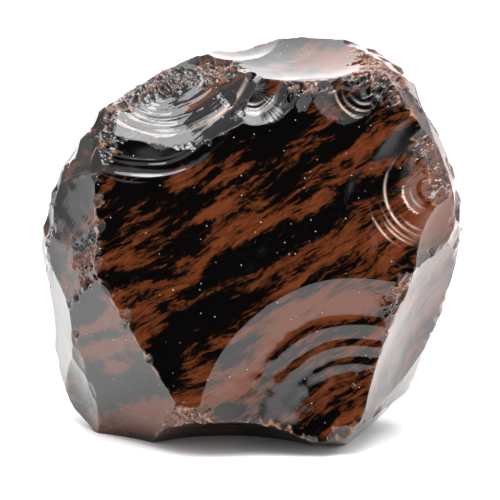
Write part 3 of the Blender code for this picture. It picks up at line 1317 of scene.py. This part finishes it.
    def crushed(self, points: np.ndarray) -> np.ndarray:
        """How crushed the stone is, with ragged borders.

        Args:
            points: Places on the stone.

        Returns:
            A value from 0 to 1 for each.
        """
        crush = sum(zone.share(points) for zone in self.breaks.crushed_zones())
        ragged = np.zeros(len(points))
        for index in np.nonzero(crush > 0.05)[0]:
            edge = crush[index] + 0.55 * noise.noise(Vector(points[index]) * 0.55) - 0.42
            ragged[index] = min(1.0, max(0.0, edge * 4.0))
        return ragged

    def build(self) -> bpy.types.Object:
        """Makes the fine mesh, with the values that its finish reads.

        Returns:
            The stone's object, which sits at the origin.
        """
        self.strike()
        bm = bmesh.new()
        bmesh.ops.create_icosphere(bm, subdivisions=self.base_cuts, radius=1.0)
        for level in (1, 2, 3):
            self.refine(bm, level)
        aim, edges = self.read(bm)
        aim = self.surface.onto_ridges(aim, edges)
        best, owner = self.surface.nearest(aim)
        points = HEART + aim * best[:, None]
        crush = self.crushed(points)
        # Painted highlights along the narrow ripple crests, standing in for their glints; the ridge
        # values take them in too.
        crest_glint = self.rung(points, owner)[1]
        wear_and_glint = np.maximum(self.ridge_wear_and_glint(points, edges, owner), crest_glint)
        rise = self.ripple(points) + self.crumble(points, crush)
        rise *= np.clip(points[:, 2] / 3.0, 0.0, 1.0)
        final = HEART + aim * (best + rise)[:, None]
        final[:, 2] = np.maximum(final[:, 2], 0.0)
        for vert, point in zip(bm.verts, (final - MIDDLE) * MM):
            vert.co = Vector(point)
        bmesh.ops.recalc_face_normals(bm, faces=bm.faces)
        mesh = bpy.data.meshes.new("obsidian_stone")
        bm.to_mesh(mesh)
        bm.free()
        mesh.shade_smooth()
        mesh.set_sharp_from_angle(angle=math.radians(self.sharp_turn))
        local = np.zeros((len(points), 2))
        for index in np.unique(owner):
            rows = np.nonzero(owner == index)[0]
            local[rows] = self.surface.breaks[index].local(points[rows])
        # The darkness values, which also hold painted shade under the overhanging front.
        self.paint(mesh, "darkness", self.bands.darkness(points))
        # The ridge values, partly worn edges and partly where painted highlights go, then the
        # painted crest highlights.
        self.paint(mesh, "wear_and_glint", wear_and_glint)
        self.paint(mesh, "crest_glint", crest_glint)
        self.paint(mesh, "crush", crush)
        self.paint(mesh, "arc", local[:, 0])
        self.paint(mesh, "out", local[:, 1])
        self.paint(mesh, "scar", (owner * 0.618) % 1.0)
        hackle = np.array([item.hackle for item in self.surface.breaks])
        self.paint(mesh, "hackle", hackle[owner])
        stone = bpy.data.objects.new("stone", mesh)
        bpy.context.scene.collection.objects.link(stone)
        LOG.info("stone: %d triangles", len(mesh.polygons))
        return stone

    def ridge_wear_and_glint(self, points: np.ndarray, edges: np.ndarray, owner: np.ndarray) -> np.ndarray:
        """How worn the ridges are.

        Args:
            points: Places on the stone.
            edges: Which of them are neighbours, as pairs of row numbers.
            owner: The number of the break that each belongs to.

        Returns:
            1 on a sharp ridge, fading to 0 a little way off it. The pale colour that this sets is
            partly the bruising of crushed glass and partly a painted highlight for the ridges'
            glints.
        """
        facing = np.array([item.facing for item in self.surface.breaks])
        first, second = edges[:, 0], edges[:, 1]
        turn = np.einsum("ij,ij->i", facing[owner[first]], facing[owner[second]])
        sharp = np.clip((1.0 - turn) * 5.0, 0.0, 1.0) * (owner[first] != owner[second])
        wear_and_glint = np.zeros(len(points))
        np.maximum.at(wear_and_glint, first, sharp)
        np.maximum.at(wear_and_glint, second, sharp)
        count = np.bincount(edges.ravel(), minlength=len(points)).astype(float)
        for _ in range(2):
            total = np.bincount(first, wear_and_glint[second], len(points))
            total += np.bincount(second, wear_and_glint[first], len(points))
            wear_and_glint = np.maximum(wear_and_glint * 0.9, 0.7 * total / count)
        return np.minimum(wear_and_glint, 1.0)

    @staticmethod
    def paint(mesh: bpy.types.Mesh, name: str, values: np.ndarray) -> None:
        """Stores one number for each vertex under this name."""
        layer = mesh.attributes.new(name, "FLOAT", "POINT")
        layer.data.foreach_set("value", values.astype(np.float32))


class Plug:
    """Short ways to add and join shader nodes in one tree."""

    def __init__(self, tree: bpy.types.NodeTree) -> None:
        """Keeps the tree."""
        self.tree = tree

    def node(self, kind: str, inputs: dict | None = None, **settings: object) -> bpy.types.Node:
        """Adds a node.

        Args:
            kind: The node's type name.
            inputs: Socket name or number to a value, or to an output socket to join.
            **settings: Properties of the node.

        Returns:
            The node.
        """
        made = self.tree.nodes.new(kind)
        for key, value in settings.items():
            setattr(made, key, value)
        for key, value in (inputs or {}).items():
            if isinstance(value, bpy.types.NodeSocket):
                self.tree.links.new(value, made.inputs[key])
            else:
                made.inputs[key].default_value = value
        return made

    def attribute(self, name: str) -> bpy.types.NodeSocket:
        """The number that the mesh stores under this name."""
        return self.node("ShaderNodeAttribute", attribute_name=name).outputs["Fac"]

    def maths(self, operation: str, *values: object) -> bpy.types.NodeSocket:
        """One sum of up to three values or sockets."""
        return self.node("ShaderNodeMath", dict(enumerate(values)), operation=operation).outputs[0]

    def band(self, value: object, low: float, high: float) -> bpy.types.NodeSocket:
        """0 below low, 1 above high, and a smooth step between."""
        inputs = {"Value": value, "From Min": low, "From Max": high}
        return self.node("ShaderNodeMapRange", inputs, interpolation_type="SMOOTHSTEP").outputs[0]

    def blend(self, share: object, one: object, other: object) -> bpy.types.NodeSocket:
        """Mixes two colours: one where share is 0, other where it is 1."""
        inputs = {0: share, 6: one, 7: other}
        return self.node("ShaderNodeMix", inputs, data_type="RGBA", clamp_factor=True).outputs[2]

    def noise(
        self, where: object, scale: float, detail: float, rough: float
    ) -> bpy.types.NodeSocket:
        """A noise value."""
        inputs = {"Vector": where, "Scale": scale, "Detail": detail, "Roughness": rough}
        return self.node("ShaderNodeTexNoise", inputs).outputs["Fac"]

    def vector(self, operation: str, *values: object) -> bpy.types.NodeSocket:
        """One sum of two vectors or sockets."""
        made = self.node("ShaderNodeVectorMath", dict(enumerate(values)), operation=operation)
        return made.outputs[0]


@dataclass(frozen=True)
class Streak:
    """How large one layer of flow noise is, in millimetres, how detailed and how rough."""

    length: float
    width: float
    detail: float
    rough: float


@dataclass(frozen=True)
class MahoganyGlass:
    """The finish: black glass with red-brown flow bands, bruised pale along the ridges.

    The flow bands are the sum of broad, middle and fine noise and the mesh's own darkness, each
    with its weight. Where the sum is high the glass is black, and as it falls it turns brown in
    three steps. swirl is how far the bands are bent, in millimetres. The pale colour along the
    ridges is partly the bruising of crushed, thin glass and partly a painted highlight that stands
    in for the ridges' glints, and the pale lines on the ripple crests are painted highlights as
    well.
    """

    black: Colour = (0.0010, 0.0008, 0.0008, 1.0)
    dim_brown: Colour = (0.016, 0.0052, 0.0019, 1.0)
    brown: Colour = (0.044, 0.0110, 0.0034, 1.0)
    bright_brown: Colour = (0.078, 0.0195, 0.0066, 1.0)
    # Pale ridge colours: partly the bruising of crushed, thin glass, partly a painted highlight for
    # the ridges' glints.
    pale_bruise_and_glint: Colour = (0.36, 0.23, 0.19, 1.0)
    tan: Colour = (0.45, 0.20, 0.08, 1.0)
    # Painted highlight colour for the narrow ripple crests.
    crest_glint: Colour = (0.62, 0.46, 0.38, 1.0)
    dust: Colour = (0.85, 0.85, 0.85, 1.0)
    broad: Streak = Streak(16.0, 4.2, 3.0, 0.55)
    middle: Streak = Streak(8.0, 1.5, 3.0, 0.6)
    fine: Streak = Streak(1.9, 0.50, 4.0, 0.65)
    swirl: float = 7.0
    gloss: float = 0.03
    refraction: float = 1.5

    def bent(self, plug: Plug) -> bpy.types.NodeSocket:
        """Object coordinates, bent as the glass was while it flowed.

        Args:
            plug: Adds nodes to the material.

        Returns:
            The socket that gives them.
        """
        where = plug.node("ShaderNodeTexCoord").outputs["Object"]
        inputs = {"Vector": where, "Scale": 55.0, "Detail": 2.0}
        swirl = plug.node("ShaderNodeTexNoise", inputs).outputs["Color"]
        centred = plug.vector("SUBTRACT", swirl, (0.5, 0.5, 0.5))
        inputs = {0: centred, "Scale": self.swirl * MM}
        push = plug.node("ShaderNodeVectorMath", inputs, operation="SCALE").outputs[0]
        return plug.vector("ADD", where, push)

    def streaks(
        self, plug: Plug, bands: FlowBands, bent: object, size: Streak
    ) -> bpy.types.NodeSocket:
        """Noise that is drawn out along the flow.

        Args:
            plug: Adds nodes to the material.
            bands: The layers of the glass.
            bent: The bent Object coordinates.
            size: How large and how ragged the streaks are.

        Returns:
            The noise value.
        """
        made = plug.node("ShaderNodeMapping", {"Vector": bent}, vector_type="TEXTURE")
        made.inputs["Rotation"].default_value = bands.axes().to_euler()
        length, width = size.length * MM, size.width * MM
        made.inputs["Scale"].default_value = (length, 0.5 * length, width)
        return plug.noise(made.outputs[0], 1.0, size.detail, size.rough)

    def build(self, bands: FlowBands) -> bpy.types.Material:
        """Makes the material.

        Args:
            bands: The layers of the glass.

        Returns:
            The material.
        """
        made = bpy.data.materials.new("mahogany_glass")
        made.use_nodes = True
        plug = Plug(made.node_tree)
        shader = made.node_tree.nodes["Principled BSDF"]
        where = plug.node("ShaderNodeTexCoord").outputs["Object"]
        bent = self.bent(plug)
        broad = self.streaks(plug, bands, bent, self.broad)
        middle = self.streaks(plug, bands, bent, self.middle)
        fine = self.streaks(plug, bands, bent, self.fine)
        shade = plug.maths("MULTIPLY_ADD", broad, 0.85, plug.maths("MULTIPLY", middle, 0.75))
        shade = plug.maths("MULTIPLY_ADD", fine, 0.52, shade)
        # The darkness values also hold painted shade under the overhanging front.
        shade = plug.maths("MULTIPLY_ADD", plug.attribute("darkness"), 0.165, shade)
        glass = plug.blend(plug.band(shade, 1.08, 1.01), self.black, self.dim_brown)
        glass = plug.blend(plug.band(shade, 1.04, 0.95), glass, self.brown)
        glass = plug.blend(plug.band(shade, 0.98, 0.80), glass, self.bright_brown)
        wear_and_glint = plug.attribute("wear_and_glint")
        crush = plug.attribute("crush")
        grit = plug.noise(where, 900.0, 3.0, 0.7)
        patch = plug.noise(where, 260.0, 3.0, 0.6)
        # Pale ridges: partly the bruising of crushed, thin glass, partly a painted highlight that
        # stands in for the glints along them.
        edge = plug.band(wear_and_glint, 0.40, 0.95)
        spotted = plug.band(plug.maths("MULTIPLY_ADD", crush, 0.25, patch), 0.44, 0.66)
        bruise_and_glint = plug.maths("MULTIPLY", edge, spotted)
        tan = plug.band(plug.noise(where, 90.0, 2.0, 0.5), 0.48, 0.60)
        pale = plug.blend(tan, self.pale_bruise_and_glint, self.tan)
        colour = plug.blend(plug.maths("MULTIPLY", bruise_and_glint, 0.50), glass, pale)
        # Painted highlight: pale lines along the narrow ripple crests stand in for their glints.
        crest_glint = plug.maths("MULTIPLY", plug.attribute("crest_glint"), plug.band(patch, 0.30, 0.48))
        colour = plug.blend(crest_glint, colour, self.crest_glint)
        speck = plug.node("ShaderNodeTexVoronoi", {"Vector": where, "Scale": 600.0})
        small = plug.maths("LESS_THAN", speck.outputs["Distance"], 0.050)
        chance = plug.node("ShaderNodeSeparateColor", {0: speck.outputs["Color"]}).outputs[0]
        rare = plug.maths("GREATER_THAN", chance, 0.50)
        dust = plug.maths("MULTIPLY", small, rare)
        colour = plug.blend(dust, colour, self.dust)
        rough = plug.maths("MULTIPLY_ADD", bruise_and_glint, 0.35, self.gloss)
        rough = plug.maths("MULTIPLY_ADD", dust, 0.6, rough)
        made.node_tree.links.new(rough, shader.inputs["Roughness"])
        shader.inputs["IOR"].default_value = self.refraction
        arc = plug.maths("MULTIPLY", plug.attribute("arc"), 2.2)
        out = plug.maths("MULTIPLY", plug.attribute("out"), 0.12)
        scar = plug.maths("MULTIPLY", plug.attribute("scar"), 50.0)
        lines = plug.node("ShaderNodeCombineXYZ", {0: arc, 1: out, 2: scar}).outputs[0]
        hackle = plug.noise(lines, 1.0, 2.0, 0.5)
        made.node_tree.links.new(colour, shader.inputs["Base Color"])
        deep = plug.maths("MULTIPLY", plug.attribute("hackle"), 0.022)
        gritty = plug.maths("MULTIPLY", grit, plug.maths("MULTIPLY", wear_and_glint, crush))
        height = plug.maths("MULTIPLY", hackle, deep)
        height = plug.maths("MULTIPLY_ADD", gritty, 0.5, height)
        inputs = {"Height": height, "Distance": 1.0 * MM, "Strength": 1.0}
        bump = plug.node("ShaderNodeBump", inputs)
        made.node_tree.links.new(bump.outputs[0], shader.inputs["Normal"])
        return made


@dataclass
class Studio:
    """The pale floor, the soft lamps, the room round them and the camera."""

    target: Triple = (-0.1, -2.9, 47.4)
    elevation: float = 10.0
    lens: float = 200.0
    frame_width: float = 125.0
    sensor: float = 36.0
    floor_reach: float = 1.6

    def camera(self) -> None:
        """Places the camera in front of the broad face, a little above it."""
        data = bpy.data.cameras.new("camera")
        data.lens = self.lens
        data.sensor_width = self.sensor
        data.clip_start = 0.01
        made = bpy.data.objects.new("camera", data)
        away = direction(0.0, self.elevation) * self.frame_width * self.lens / self.sensor
        made.location = Vector((np.array(self.target) + away) * MM)
        made.rotation_euler = (math.radians(90.0 - self.elevation), 0.0, 0.0)
        bpy.context.scene.collection.objects.link(made)
        bpy.context.scene.camera = made

    def floor(self) -> None:
        """A wide pale floor."""
        bm = bmesh.new()
        bmesh.ops.create_grid(bm, x_segments=1, y_segments=1, size=self.floor_reach)
        mesh = bpy.data.meshes.new("floor")
        bm.to_mesh(mesh)
        bm.free()
        paper = bpy.data.materials.new("white_paper")
        paper.use_nodes = True
        shader = paper.node_tree.nodes["Principled BSDF"]
        shader.inputs["Base Color"].default_value = (0.88, 0.88, 0.88, 1.0)
        shader.inputs["Roughness"].default_value = 0.9
        mesh.materials.append(paper)
        made = bpy.data.objects.new("floor", mesh)
        bpy.context.scene.collection.objects.link(made)

    def lamp(self, name: str, spot: Triple, size: tuple[float, float], radiance: float) -> None:
        """A soft square lamp that looks straight down.

        Args:
            name: The lamp's name.
            spot: Where it hangs, in metres.
            size: Its width and height, in metres.
            radiance: How bright its face is, where 1 is white.
        """
        data = bpy.data.lights.new(name, "AREA")
        data.shape = "RECTANGLE"
        data.size, data.size_y = size
        data.energy = radiance * math.pi * size[0] * size[1]
        made = bpy.data.objects.new(name, data)
        made.location = spot
        bpy.context.scene.collection.objects.link(made)

    def room(self) -> None:
        """White walls, brighter behind and to the right, with a dark opening in front."""
        world = bpy.data.worlds.new("room")
        bpy.context.scene.world = world
        world.use_nodes = True
        tree = world.node_tree
        plug = Plug(tree)
        where = plug.node("ShaderNodeTexCoord").outputs["Generated"]
        axes = plug.node("ShaderNodeSeparateXYZ", {0: where})
        right, back, up = axes.outputs
        level = plug.maths("SQRT", plug.maths("SUBTRACT", 1.0, plug.maths("MULTIPLY", up, up)))
        ahead = plug.maths("MULTIPLY", plug.maths("DIVIDE", back, level), -1.0)
        aside = plug.maths("DIVIDE", right, level)
        bright = plug.maths("MULTIPLY_ADD", plug.band(aside, 0.15, 0.4), 1.0, 1.2)
        bright = plug.maths("MULTIPLY_ADD", plug.band(ahead, 0.0, -0.5), -0.5, bright)
        bright = plug.maths("MULTIPLY_ADD", plug.band(aside, 0.0, -0.4), -0.1, bright)
        straight, near = plug.band(ahead, -0.70, -0.88), plug.band(aside, 0.32, 0.12)
        centre = plug.maths("MULTIPLY", straight, near)
        bright = plug.maths("MULTIPLY_ADD", centre, 2.6, bright)
        behind, far_right = plug.band(ahead, 0.0, -0.5), plug.band(aside, 0.30, 0.55)
        behind_right = plug.maths("MULTIPLY", behind, far_right)
        bright = plug.maths("MULTIPLY_ADD", behind_right, -0.6, bright)
        right_edge = plug.band(aside, 0.27, 0.20)
        left_edge = plug.band(aside, -0.50, -0.40)
        low = plug.band(up, 0.62, 0.56)
        facing = plug.maths("GREATER_THAN", ahead, 0.0)
        beside = plug.maths("MULTIPLY", right_edge, left_edge)
        opening = plug.maths("MULTIPLY", beside, plug.maths("MULTIPLY", low, facing))
        bright = plug.maths("MULTIPLY", bright, plug.maths("MULTIPLY_ADD", opening, -0.99, 1.0))
        seen = plug.node("ShaderNodeLightPath").outputs["Is Camera Ray"]
        strength = plug.node("ShaderNodeMix", {0: seen, 2: bright, 3: 1.02}).outputs[0]
        shade = tree.nodes["Background"]
        shade.inputs["Color"].default_value = (1.0, 1.0, 1.0, 1.0)
        tree.links.new(strength, shade.inputs["Strength"])

    def build(self) -> None:
        """Sets the whole studio up."""
        self.camera()
        self.floor()
        self.room()
        self.lamp("overhead", (0.0, -0.27, 0.75), (0.50, 0.74), 7.5)
        self.lamp("core", (-0.04, -0.30, 0.74), (0.24, 0.26), 11.0)
        bpy.context.scene.view_settings.view_transform = "Standard"


def main() -> None:
    """Builds the studio and the stone, and logs the stone's counts of breaks, faces and triangles.
    """
    logging.basicConfig(level=logging.INFO, format="%(name)s: %(message)s")
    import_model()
    Studio().build()
    stone = Stone()
    piece = stone.build()
    piece.data.materials.append(MahoganyGlass().build(stone.bands))
    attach(piece, "root")
    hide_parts(NODE)
    LOG.info("stone: dressed")


if __name__ == "__main__":
    main()
